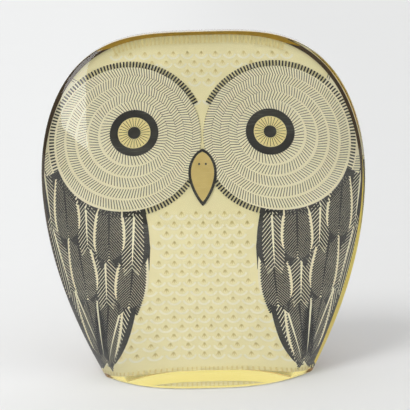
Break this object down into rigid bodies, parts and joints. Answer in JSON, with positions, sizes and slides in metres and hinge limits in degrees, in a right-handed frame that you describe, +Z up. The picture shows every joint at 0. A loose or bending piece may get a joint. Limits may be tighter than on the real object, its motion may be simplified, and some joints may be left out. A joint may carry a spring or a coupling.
{
  "type": "owl sculpture",
  "caption": "Cushion-shaped block of clear amber resin with an owl inlay sealed inside, cut flat below to stand upright.",
  "frame": {"origin": "on the flat base, under the middle of the block", "axes": "+Z up, the front with the fuller dome faces -Y, +X to the right as seen from the front"},
  "size_m": [0.1356, 0.0514, 0.1454],
  "materials": {
    "amber_resin": "polished clear amber resin, with the pale yellow, cream and near-black inlay seen through it"
  },
  "bodies": {
    "root": {"owl_block": "amber_resin"}
  },
  "joints": []
}
